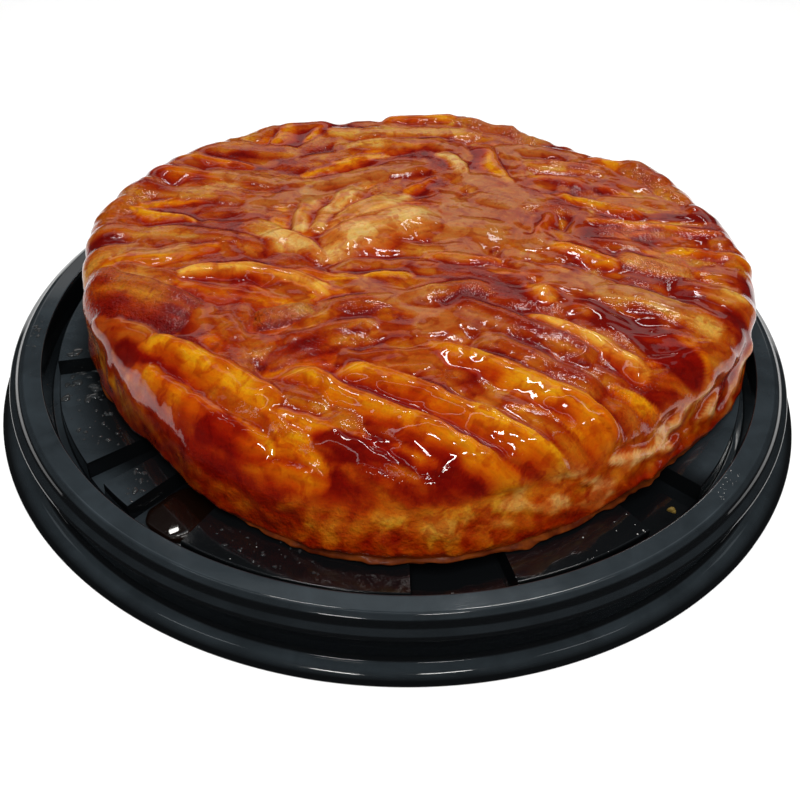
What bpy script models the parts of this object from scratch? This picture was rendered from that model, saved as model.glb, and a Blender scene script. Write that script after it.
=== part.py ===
"""A tarte tatin on its black plastic cake tray.

The tray is one thin thermoformed sheet: a flange that stands on the table, an outer wall with a
snap bead for a lid, a raised rim ring, and a platform of pads parted by radial troughs. The tart
stands on the pads. It has a pastry base, a moulded layer of cooked apple that runs right through
it, and apple slices laid side by side on top, like shingles.

Lengths are in metres, +Z is up, and the origin is on the table under the middle of the tray.
"""

import math
import random

import bmesh
import bpy
from mathutils import Vector

MM = 0.001
GAP = 0.3 * MM  # the play between pieces that touch

# The tray, a sheet turned about the Z axis
FLANGE_RADIUS = 155.0 * MM
SHEET = 0.8 * MM
RIM_HEIGHT = 19.0 * MM
PAD_HEIGHT = 13.5 * MM
PAD_RADIUS = 133.0 * MM
CHANNEL_FLOOR = 5.0 * MM
TURN_STEPS = 52

# The troughs between the pads: the middle of each in degrees and the angle it spans.
# The other half of the tray repeats them, turned by half a turn.
TROUGHS = ((-160.6, 12.0), (-138.3, 4.8), (-124.6, 10.0), (-80.7, 13.6), (-46.5, 12.0))
TROUGH_FLOOR = 7.5 * MM
TROUGH_START = 42.0 * MM

# The tart
TART_CENTRE = Vector((7.0, 1.5)) * MM
TART_STEPS = 56
PASTRY_THICKNESS = 8.0 * MM
APPLE_TOP = 44.4 * MM  # in the middle of the tart
TILT = 1.4 * MM  # how much higher the top of the apple layer is at the rim on its high side
HIGH_SIDE = 165.0  # the direction of that side in degrees
EDGE_ROUNDING = 6.5 * MM
SIDE_UNEVENNESS = 0.9 * MM
SEAM_WAVE = 0.9 * MM

# The uneven outline of the tart, every 20 degrees from the right round by the back: the radius of
# its foot, the radius of its rim and how far its rim lies below the top, in millimetres.
OUTLINE = (
    (126.0, 127.5, 1.0),
    (125.0, 127.5, 0.5),
    (124.0, 127.5, 0.5),
    (124.0, 126.0, 3.5),
    (124.0, 127.5, 0.5),
    (124.0, 126.5, 3.5),
    (124.0, 127.5, 1.0),
    (124.0, 127.5, 0.5),
    (125.0, 128.5, 0.5),
    (127.0, 128.5, 1.0),
    (125.0, 123.5, 3.0),
    (118.0, 119.0, 4.0),
    (121.0, 121.0, 5.0),
    (125.0, 121.5, 4.5),
    (122.5, 116.0, 3.5),
    (118.0, 112.0, 3.0),
    (118.0, 112.5, 3.0),
    (125.0, 121.0, 2.0),
)

# The slices
SLICE_SIDES = 7
SLICE_RINGS = 9
SLICE_RISE = 5.2 * MM
RISE_SPREAD = 0.8 * MM
SLICE_LEAN = 0.35  # how far the crest leans to the left of the run, as a share of the height
SLICE_SPREAD = 1.7  # how far a slice may swell into free room, as a share of its half width
SLICE_GROWTH = 0.12  # how far each end may run on into free room, as a share of the run
SLICE_INSET = 2.5 * MM  # how far inside the rim the slices end
EDGE_SLOPE = 12.0 * MM  # how far in from there the slices start to get lower
EDGE_SHARE = 0.85  # their height where they end, as a share of their rise
CLEARANCE = 0.9 * MM  # between the footprints of neighbours
LEAST_HALF_WIDTH = 0.5 * MM
STATION_REACH = 0.07  # how much of the run on each side of a station its width has to suit
MARCH = 0.25 * MM
SEED = 7

TONES = {
    "gold": (0.72, 0.27, 0.012),
    "amber": (0.55, 0.13, 0.008),
    "brown": (0.27, 0.055, 0.012),
    "pale": (0.72, 0.38, 0.10),
}

# Each slice: tone, first end x and y, last end x and y, full width, and sideways bow to the left
# of its run, in millimetres.
SLICES = (
    # along the front
    ("gold", -36, -67, 0, -97, 12, 5),
    ("gold", -20, -63, 48, -97, 14, 3),
    ("amber", 8, -53, 66, -91, 13, 2),
    ("gold", 4, -95, 44, -111, 13, 2),
    ("brown", 32, -57, 68, -78, 9, 0),
    ("brown", 18, -31, 64, -61, 11, 2),
    ("gold", 39, -33, 76, -60, 12, 3),
    ("amber", 80, -63, 100, -56, 12, 0),
    ("gold", 44, -16, 61, -27, 14, 0),
    ("amber", -44, -90, -12, -104, 12, 0),
    ("gold", -80, -55, -40, -86, 17, 0),
    ("amber", -81, -69, -46, -99, 12, -2),
    # on the left
    ("brown", -108, -24, -70, -43, 19, 0),
    ("brown", -63, -40, -53, -60, 11, 0),
    ("brown", -49, -46, -30, -41, 12, 0),
    ("pale", -84, -23, -24, -30, 11, 8),
    ("amber", -104, -13, -64, -2, 14, 1),
    ("brown", -120, 6, -62, 8, 12, 1),
    ("gold", -117, 26, -82, 17, 10, 0),
    ("gold", -102, 27, -80, 36, 11, 0),
    ("brown", -116, 42, -66, 40, 13, 0),
    ("amber", -111, 56, -56, 53, 13, 1),
    ("amber", -105, 70, -66, 66, 11, 0),
    ("brown", -97, 82, -46, 83, 14, 0),
    # along the back
    ("amber", -57, 93, -49, 115, 13, 0),
    ("amber", -42, 91, -37, 113, 10, 0),
    ("brown", -31, 105, 30, 110, 11, 0),
    ("amber", -30, 89, 22, 98, 13, 1),
    ("gold", -6, 120, 20, 122, 10, 0),
    ("brown", 26, 119, 64, 104, 12, 2),
    ("amber", 35, 100, 45, 55, 12, -3),
    ("pale", 14, 88, 24, 67, 9, 3),
    ("brown", 46, 97, 80, 90, 11, 0),
    ("brown", 52, 81, 82, 78, 11, 0),
    ("amber", 53, 66, 80, 62, 13, 0),
    ("amber", 84, 80, 121, 52, 17, 4),
    # on the right
    ("amber", 64, 51, 100, 36, 12, -1),
    ("brown", 72, 31, 122, 21, 11, 1),
    ("gold", 63, 17, 94, 2, 13, 0),
    ("amber", 102, 8, 129, 3, 12, 0),
    ("brown", 102, -12, 125, -26, 12, 0),
    ("brown", 66, -3, 96, -15, 12, 0),
    ("brown", 68, -22, 106, -40, 15, 3),
    ("amber", 54, 10, 61, 36, 9, 0),
    # in the middle
    ("pale", -34, 9, -28, 47, 9, 3),
    ("pale", -24, 5, 6, 34, 15, 0),
    ("pale", -58, 18, -44, 0, 12, 3),
    ("gold", -32, 70, -6, 82, 11, 2),
    ("brown", -50, 50, 12, 74, 14, 0),
    ("amber", 2, 49, 17, 64, 9, 0),
    ("brown", 14, 26, 44, 18, 16, 0),
    ("brown", 24, 47, 50, 40, 13, 0),
    ("brown", 2, -30, 36, -22, 12, 2),
    ("amber", -16, -20, 6, -17, 11, 0),
    ("amber", 6, -3, 40, -6, 12, 0),
    ("brown", -40, -57, -6, -46, 10, 0),
)


def clear_scene():
    for thing in list(bpy.data.objects):
        bpy.data.objects.remove(thing, do_unlink=True)


def new_collection(name):
    collection = bpy.data.collections.new(name)
    bpy.context.scene.collection.children.link(collection)
    return collection


def principled(name, colour, roughness, metallic=0.0):
    material = bpy.data.materials.new(name)
    material.use_nodes = True
    shader = material.node_tree.nodes["Principled BSDF"]
    shader.inputs["Base Color"].default_value = (*colour, 1.0)
    shader.inputs["Roughness"].default_value = roughness
    shader.inputs["Metallic"].default_value = metallic
    return material


def add_object(name, bm, collection, material=None):
    """Makes an object from the closed bodies in bm, with their faces pointing out."""
    if bm.calc_volume(signed=True) < 0:
        bmesh.ops.reverse_faces(bm, faces=bm.faces)
    mesh = bpy.data.meshes.new(name)
    bm.to_mesh(mesh)
    bm.free()
    thing = bpy.data.objects.new(name, mesh)
    collection.objects.link(thing)
    if material:
        mesh.materials.append(material)
        mesh.shade_smooth()
        mesh.set_sharp_from_angle(angle=math.radians(40.0))
    return thing


# ---------------------------------------------------------------- the tray


def tray_profile():
    """The top side of the sheet, from the middle of the platform out to the edge of the flange."""
    wall = FLANGE_RADIUS - 8.5 * MM
    bead = FLANGE_RADIUS - 5.7 * MM
    ring_outer = FLANGE_RADIUS - 11.6 * MM
    ring_inner = PAD_RADIUS + 4.2 * MM
    return (
        (0.0, PAD_HEIGHT),
        (PAD_RADIUS, PAD_HEIGHT),
        (PAD_RADIUS + 0.6 * MM, CHANNEL_FLOOR),
        (ring_inner - 0.8 * MM, CHANNEL_FLOOR),
        (ring_inner, RIM_HEIGHT),
        (ring_outer, RIM_HEIGHT),
        (ring_outer + 2.2 * MM, RIM_HEIGHT - 1.0 * MM),
        (ring_outer + 3.2 * MM, RIM_HEIGHT - 2.4 * MM),
        (bead, RIM_HEIGHT - 4.0 * MM),
        (bead, RIM_HEIGHT - 5.4 * MM),
        (wall - 0.6 * MM, RIM_HEIGHT - 7.2 * MM),
        (wall, SHEET + 1.0 * MM),
        (wall + 1.2 * MM, SHEET),
        (FLANGE_RADIUS, SHEET),
    )


def trough_wedge(bm, middle, span, start, end, low, high, grow):
    """A wedge along one trough, with radial sides that stand grow outside those of the trough."""
    made = bmesh.ops.create_cube(bm, size=1.0)["verts"]
    half = math.tan(math.radians(span / 2))
    turn = math.radians(middle)
    for vert in made:
        reach = end if vert.co.x > 0 else start
        across = math.copysign(reach * half + grow, vert.co.y)
        vert.co = Vector((
            reach * math.cos(turn) - across * math.sin(turn),
            reach * math.sin(turn) + across * math.cos(turn),
            high if vert.co.z > 0 else low,
        ))


def trough_cutter(name, collection, **sizes):
    bm = bmesh.new()
    for middle, span in TROUGHS:
        for half_turn in (0.0, 180.0):
            trough_wedge(bm, middle + half_turn, span, **sizes)
    cutter = add_object(name, bm, collection)
    cutter.hide_render = True
    cutter.display_type = "WIRE"
    return cutter


def make_tray(collection, cutters):
    mesh = bpy.data.meshes.new("tray")
    points = [(radius, 0.0, height) for radius, height in tray_profile()]
    mesh.from_pydata(points, [(i, i + 1) for i in range(len(points) - 1)], [])
    mesh.materials.append(principled("black_plastic", (0.012, 0.013, 0.015), 0.22))
    tray = bpy.data.objects.new("tray", mesh)
    collection.objects.link(tray)

    screw = tray.modifiers.new("turn", "SCREW")
    screw.steps = TURN_STEPS
    screw.render_steps = TURN_STEPS
    screw.use_merge_vertices = True
    screw.merge_threshold = 0.0001

    sheet = tray.modifiers.new("sheet", "SOLIDIFY")
    sheet.thickness = SHEET
    sheet.offset = -1.0
    sheet.use_even_offset = True

    walls = trough_cutter(
        "trough_walls", cutters,
        start=TROUGH_START - SHEET, end=PAD_RADIUS - 0.3 * SHEET,
        low=TROUGH_FLOOR - SHEET, high=PAD_HEIGHT - 0.5 * SHEET, grow=SHEET,
    )
    voids = trough_cutter(
        "trough_voids", cutters,
        start=TROUGH_START, end=PAD_RADIUS + 1.6 * MM,
        low=TROUGH_FLOOR, high=PAD_HEIGHT + 2.0 * MM, grow=0.0,
    )
    for name, operation, cutter in (("walls", "UNION", walls), ("voids", "DIFFERENCE", voids)):
        boolean = tray.modifiers.new(name, "BOOLEAN")
        boolean.operation = operation
        boolean.object = cutter
        boolean.solver = "EXACT"
    return tray


# ---------------------------------------------------------------- the tart


def waves(angle, seed):
    """A smooth uneven value from -1 to 1 round the tart."""
    source = random.Random(seed)
    total = 0.0
    for times in (2, 3, 5, 8, 13):
        total += math.sin(times * angle + source.uniform(0.0, math.tau)) * 1.6 / (times + 1)
    return max(-1.0, min(1.0, total))


def outline(angle):
    """The radius of the foot, the radius of the rim and the drop of the rim in a direction."""
    turn = (angle / math.tau % 1.0) * len(OUTLINE)
    first = int(turn)
    part = turn - first
    rows = [OUTLINE[(first + i) % len(OUTLINE)] for i in (-1, 0, 1, 2)]
    values = []
    for before, here, after, beyond in zip(*rows):
        slope = (after - before) / 2
        next_slope = (beyond - here) / 2
        bend = 3 * (after - here) - 2 * slope - next_slope
        twist = slope + next_slope - 2 * (after - here)
        values.append((here + part * (slope + part * (bend + part * twist))) * MM)
    return values


def apple_top(spot):
    """The height of the flat but tilted top of the apple layer."""
    turn = math.radians(HIGH_SIDE)
    towards = (spot - TART_CENTRE).dot(Vector((math.cos(turn), math.sin(turn))))
    return APPLE_TOP + TILT * towards / (OUTLINE[9][1] * MM)


def on_tart(angle, radius):
    return TART_CENTRE + radius * Vector((math.cos(angle), math.sin(angle)))


def inside_rim(spot):
    """How far inside the rim a spot lies."""
    from_centre = spot - TART_CENTRE
    rim = outline(math.atan2(from_centre.y, from_centre.x))[1]
    return rim - from_centre.length


def turned_body(rings):
    """A closed body from rings, lowest first, with a flat face across the first and the last.

    Each ring is a function that gives a radius and a height for an angle.
    """
    bm = bmesh.new()
    columns = []
    for step in range(TART_STEPS):
        angle = math.tau * step / TART_STEPS
        column = []
        for ring in rings:
            radius, height = ring(angle)
            column.append(bm.verts.new((*on_tart(angle, radius), height)))
        columns.append(column)
    for column, after in zip(columns, columns[1:] + columns[:1]):
        for i in range(len(rings) - 1):
            bm.faces.new((column[i], after[i], after[i + 1], column[i + 1]))
    bm.faces.new([column[0] for column in reversed(columns)])
    bm.faces.new([column[-1] for column in columns])
    return bm


def side_ring(part, outward, height, uneven=1.0, lift=0.0):
    """A ring on the side, outward of a radius that lies a part of the way from foot to rim.

    lift is how far it follows the wave of the pastry's seam.
    """
    def ring(angle):
        foot, rim, _ = outline(angle)
        radius = foot + (rim - foot) * part + outward
        radius += uneven * SIDE_UNEVENNESS * waves(angle, SEED)
        return radius, height + lift * SEAM_WAVE * waves(angle, SEED + 1)
    return ring


def rim_ring(inward, share, down=0.0):
    """A ring by the rim, inward of its radius, with a share of its drop below the top."""
    def ring(angle):
        _, rim, drop = outline(angle)
        radius = rim - inward + SIDE_UNEVENNESS * waves(angle, SEED)
        return radius, apple_top(on_tart(angle, radius)) - drop * share - down
    return ring


def make_pastry(collection):
    foot = PAD_HEIGHT + GAP
    seam = PAD_HEIGHT + PASTRY_THICKNESS
    rings = (
        side_ring(0.0, -7.0 * MM, foot, 0.5),
        side_ring(0.0, -1.6 * MM, foot),
        side_ring(0.0, 0.0, foot + 2.0 * MM),
        side_ring(0.2, 0.6 * MM, seam - 1.5 * MM, lift=1.0),
        side_ring(0.2, -0.4 * MM, seam - GAP / 2, lift=1.0),
        side_ring(0.2, -12.0 * MM, seam - GAP / 2, 0.0),
    )
    material = principled("baked_pastry", (0.30, 0.075, 0.012), 0.35)
    return add_object("pastry_base", turned_body(rings), collection, material)


def make_apple_layer(collection):
    seam = PAD_HEIGHT + PASTRY_THICKNESS + GAP / 2
    rings = (
        side_ring(0.2, -12.0 * MM, seam, 0.0),
        side_ring(0.2, -0.4 * MM, seam, lift=1.0),
        side_ring(0.3, 0.8 * MM, seam + 2.0 * MM, lift=1.0),
        rim_ring(0.0, 1.0, 4.5 * MM),
        rim_ring(1.6 * MM, 1.0),
        rim_ring(EDGE_ROUNDING, 0.0),
    )
    material = principled("cooked_apple", (0.50, 0.15, 0.012), 0.25)
    return add_object("apple_layer", turned_body(rings), collection, material)


class Slice:
    """The run of one apple slice across the top, with the room that its neighbours leave it."""

    samples = 15

    def __init__(self, tone, x0, y0, x1, y1, width, bow):
        self.tone = tone
        self.start = Vector((x0, y0)) * MM
        self.run = Vector((x1 - x0, y1 - y0)) * MM
        self.half_width = width * MM / 2
        self.left = Vector((-self.run.y, self.run.x)).normalized()
        self.bow = bow * MM
        self.line = [self.at(i / (self.samples - 1)) for i in range(self.samples)]
        self.reach = [0.0, 1.0]

    def at(self, share):
        """The middle of the slice at a share of its run."""
        return self.start + self.run * share + self.left * self.bow * 4 * share * (1 - share)

    def nearness(self, spot):
        """How far a spot lies from the middle line, in half widths."""
        return min((spot - point).length for point in self.line) / self.half_width

    def owns(self, spot, others):
        """Whether a spot on the tart is nearer to this slice than to any other."""
        if inside_rim(spot) < SLICE_INSET:
            return False
        own = self.nearness(spot)
        return all(other.nearness(spot) > own for other in others)

    def settle(self, others):
        """Sets the shares of the run where the slice ends, each grown or cut back to its room."""
        step = 0.5 * MM / self.run.length
        for end, outward in ((0, -step), (1, step)):
            share = 0.5
            while abs(share - 0.5) < 0.5 + SLICE_GROWTH and self.owns(self.at(share), others):
                share += outward
            self.reach[end] = share - outward * CLEARANCE / MM
        self.line = [self.at(self.share(i / (self.samples - 1))) for i in range(self.samples)]

    def share(self, part):
        """The share of the run at a part, from 0 to 1, of the settled slice."""
        return self.reach[0] + (self.reach[1] - self.reach[0]) * part

    def room(self, share, side, others):
        """The half width on one side: out to where a neighbour is as near."""
        reach = 0.0
        while reach < self.half_width * SLICE_SPREAD:
            if not self.owns(self.at(share) + self.left * side * reach, others):
                break
            reach += MARCH
        return max(reach - CLEARANCE / 2, LEAST_HALF_WIDTH)

    def least_room(self, share, side, others):
        """The least half width from just before a share of the run to just after it."""
        nearby = (share - STATION_REACH, share, share + STATION_REACH)
        inside = [min(max(spot, self.reach[0]), self.reach[1]) for spot in nearby]
        return min(self.room(spot, side, others) for spot in inside)


def neighbours(piece, pieces):
    others = [other for other in pieces if other is not piece]
    others.sort(key=lambda other: other.nearness(piece.at(0.5)))
    return others[:16]


def edge_height(spot):
    """The height of a slice at a spot, as a share of its rise: lower towards the rim."""
    inside = (inside_rim(spot) - SLICE_INSET) / EDGE_SLOPE
    return EDGE_SHARE + (1.0 - EDGE_SHARE) * max(0.0, min(1.0, inside))


def slice_body(piece, others, rise):
    """A ball drawn out along the slice: flat below, domed above, with its ends rounded off."""
    bm = bmesh.new()
    bmesh.ops.create_uvsphere(bm, u_segments=SLICE_SIDES, v_segments=SLICE_RINGS, radius=1.0)
    rooms = {}
    for vert in bm.verts:
        along = round(vert.co.z, 4)
        share = piece.share((1 + along) / 2)
        ring = math.sqrt(max(0.0, 1 - along * along))
        if along not in rooms:
            rooms[along] = {side: piece.least_room(share, side, others) for side in (-1, 1)}
        across, up = (vert.co.x / ring, vert.co.y / ring) if ring > 0.01 else (0.0, 0.0)
        out = across * rooms[along][1 if across > 0 else -1] * ring ** 0.5
        height = max(0.0, up) * rise * ring ** 0.4
        spot = piece.at(share) + piece.left * (out + SLICE_LEAN * height)
        height *= edge_height(spot)
        vert.co = Vector((*spot, apple_top(spot) + GAP + height))
    return bm


def make_slices(collection):
    source = random.Random(SEED)
    glazed = {tone: principled("apple_" + tone, colour, 0.2) for tone, colour in TONES.items()}
    pieces = [Slice(*row) for row in SLICES]
    nearby = {piece: neighbours(piece, pieces) for piece in pieces}
    for piece in pieces:
        piece.settle(nearby[piece])
    counts = dict.fromkeys(TONES, 0)
    for piece in pieces:
        counts[piece.tone] += 1
        name = f"slice_{piece.tone}_{counts[piece.tone]:02d}"
        rise = SLICE_RISE + source.uniform(-1.0, 1.0) * RISE_SPREAD
        body = slice_body(piece, nearby[piece], rise)
        add_object(name, body, collection, glazed[piece.tone])


def main():
    clear_scene()
    parts = new_collection("tarte_tatin")
    cutters = new_collection("cutters")
    make_tray(parts, cutters)
    make_pastry(parts)
    make_apple_layer(parts)
    make_slices(parts)


main()
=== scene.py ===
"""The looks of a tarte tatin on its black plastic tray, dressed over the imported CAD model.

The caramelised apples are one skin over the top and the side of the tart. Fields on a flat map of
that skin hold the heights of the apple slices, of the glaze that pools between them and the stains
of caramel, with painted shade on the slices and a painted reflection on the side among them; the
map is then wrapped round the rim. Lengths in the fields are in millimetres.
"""

import math

import bmesh
import bpy
import numpy as np
from mathutils import Matrix, Vector


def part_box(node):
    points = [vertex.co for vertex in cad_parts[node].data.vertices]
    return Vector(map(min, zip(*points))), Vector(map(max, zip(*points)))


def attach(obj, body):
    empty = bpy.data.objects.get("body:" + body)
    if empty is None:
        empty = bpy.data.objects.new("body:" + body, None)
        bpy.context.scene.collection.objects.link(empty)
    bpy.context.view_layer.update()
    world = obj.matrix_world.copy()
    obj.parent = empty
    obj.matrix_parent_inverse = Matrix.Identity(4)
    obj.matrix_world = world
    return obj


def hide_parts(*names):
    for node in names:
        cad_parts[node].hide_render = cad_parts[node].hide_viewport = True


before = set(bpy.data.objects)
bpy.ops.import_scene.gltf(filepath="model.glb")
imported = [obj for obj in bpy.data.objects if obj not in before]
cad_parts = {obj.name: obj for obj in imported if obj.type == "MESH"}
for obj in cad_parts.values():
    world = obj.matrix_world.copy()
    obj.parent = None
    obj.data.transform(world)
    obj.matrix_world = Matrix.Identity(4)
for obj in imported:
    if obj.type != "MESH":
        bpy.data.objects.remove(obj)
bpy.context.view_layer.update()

MM = 0.001
TRAY_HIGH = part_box("tray")[1]
TART_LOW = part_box("pastry_base")[0]
LAYER_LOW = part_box("apple_layer")[0]

# ---------------------------------------------------------------- named sizes, in millimetres

FLANGE_RADIUS = TRAY_HIGH.x / MM
RIM_HEIGHT = TRAY_HIGH.z / MM
PAD_HEIGHT = 13.5
PAD_RADIUS = 133.0
CHANNEL_FLOOR = 5.0
RING_START = PAD_RADIUS + 4.2
TROUGH_END = PAD_RADIUS + 0.8
SHEET = 0.8
# The troughs between the pads of one half of the tray: middle and angle it spans, in degrees
HALF_TROUGHS = ((-160.6, 12.0), (-138.3, 4.8), (-124.6, 10.0), (-80.7, 13.6), (-46.5, 12.0))
TROUGH_FLOOR = 7.5
TROUGH_START = 42.0
TROUGHS = [(middle + half_turn, span) for middle, span in HALF_TROUGHS for half_turn in (0.0, 180.0)]
TROUGH_EDGE_STEPS = (-0.4, -0.2, 0.0, 0.2, 0.4)  # in degrees, of the mesh across a trough's side
# The top side of the sheet: radius and height, from the edge of a pad out to the flange
TRAY_PROFILE = (
    (130.0, PAD_HEIGHT),
    (PAD_RADIUS, PAD_HEIGHT),
    (PAD_RADIUS + 0.6, CHANNEL_FLOOR),
    (PAD_RADIUS + 3.4, CHANNEL_FLOOR),
    (RING_START, RIM_HEIGHT),
    (FLANGE_RADIUS - 11.6, RIM_HEIGHT),
    (FLANGE_RADIUS - 9.4, RIM_HEIGHT - 1.0),
    (FLANGE_RADIUS - 8.4, RIM_HEIGHT - 2.4),
    (FLANGE_RADIUS - 5.7, RIM_HEIGHT - 4.0),
    (FLANGE_RADIUS - 5.7, RIM_HEIGHT - 5.4),
    (FLANGE_RADIUS - 9.1, RIM_HEIGHT - 7.2),
    (FLANGE_RADIUS - 8.5, SHEET + 1.0),
    (FLANGE_RADIUS - 7.3, SHEET),
    (FLANGE_RADIUS, SHEET),
)

TART_CENTRE = (7.0, 1.5)
SEAM_HEIGHT = LAYER_LOW.z / MM - 5.2  # the caramel runs down over the edge of the pastry
SEAM_WAVE = 3.0
APPLE_TOP = 43.0  # the skin without slices, in the middle of the tart
TILT = 1.4  # how much higher the top is at the rim on its high side
HIGH_SIDE = 165.0  # the direction of that side in degrees
CORNER = 8.0  # the rounding from the top to the side
RIM_FALL = 20.0  # how far inside the rim the top starts to fall to it

# Every 20 degrees from the right round by the back: the radius of the foot, the radius of the rim
# and how far the rim lies below the top.
OUTLINE = (
    (126.0, 126.5, 0.5),
    (125.0, 127.5, -0.5),
    (124.0, 128.0, -1.0),
    (124.0, 124.0, 3.0),
    (124.0, 127.0, -0.5),
    (124.0, 127.0, 1.0),
    (124.0, 128.0, -1.0),
    (124.0, 129.0, -1.5),
    (125.0, 129.5, -1.5),
    (126.5, 126.5, 0.0),
    (125.0, 121.0, 2.0),
    (118.0, 116.5, 3.5),
    (121.0, 118.5, 4.5),
    (125.0, 119.0, 4.0),
    (122.5, 113.5, 3.0),
    (118.0, 109.5, 2.5),
    (118.0, 110.0, 2.5),
    (125.0, 119.0, 1.5),
)
TILT_RADIUS = OUTLINE[9][1]
SIDE_LENGTH = 26.0  # of the side on the map, from the seam to the rim
SIDE_RADIUS = 120.0  # turns directions into lengths round the side
DRIP_RADIUS = 125.0  # the same, for the drips

CELL = 0.5  # the pitch of the fields
FIELD_REACH = 158.0
SKIN_CELLS = 312  # cells along each side of the skin's mesh

# The colour of cooked apple without caramel, for each tone, and the caramel that it has soaked up,
# as a depth of glaze.
TONES = {
    "gold": ((0.54, 0.22, 0.003), 0.05),
    "yellow": ((0.58, 0.30, 0.035), 0.00),
    "amber": ((0.50, 0.19, 0.002), 0.30),
    "brown": ((0.405, 0.16, 0.018), 0.42),
    "tan": ((0.47, 0.235, 0.035), 0.15),
    "pale": ((0.54, 0.32, 0.085), 0.00),
    "mush": ((0.42, 0.18, 0.010), 0.62),
}
WIDE_TOPPED = ("brown", "mush", "pale", "tan")  # slices with a wide flat top and a short face
CLEAN = ("gold", "yellow", "pale")  # slices with fainter clouds and streaks
FILLER_TONES = ("brown", "mush", "amber", "mush", "brown")
SIDE_COLOUR = np.array((0.52, 0.215, 0.012))
# The colour of the reflection painted on the right of the side
SIDE_PAINTED_REFLECTION = np.array((0.58, 0.29, 0.10))
SHEET_COLOUR = np.array((0.42, 0.24, 0.088))
GLAZE_ABSORBS = np.array((0.48, 1.80, 3.2))  # of red, green and blue, for each millimetre
GLAZE_STAIN = 1.7  # the caramel soaked up under each millimetre of glaze
MOST_SOAKED = 2.6

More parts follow.
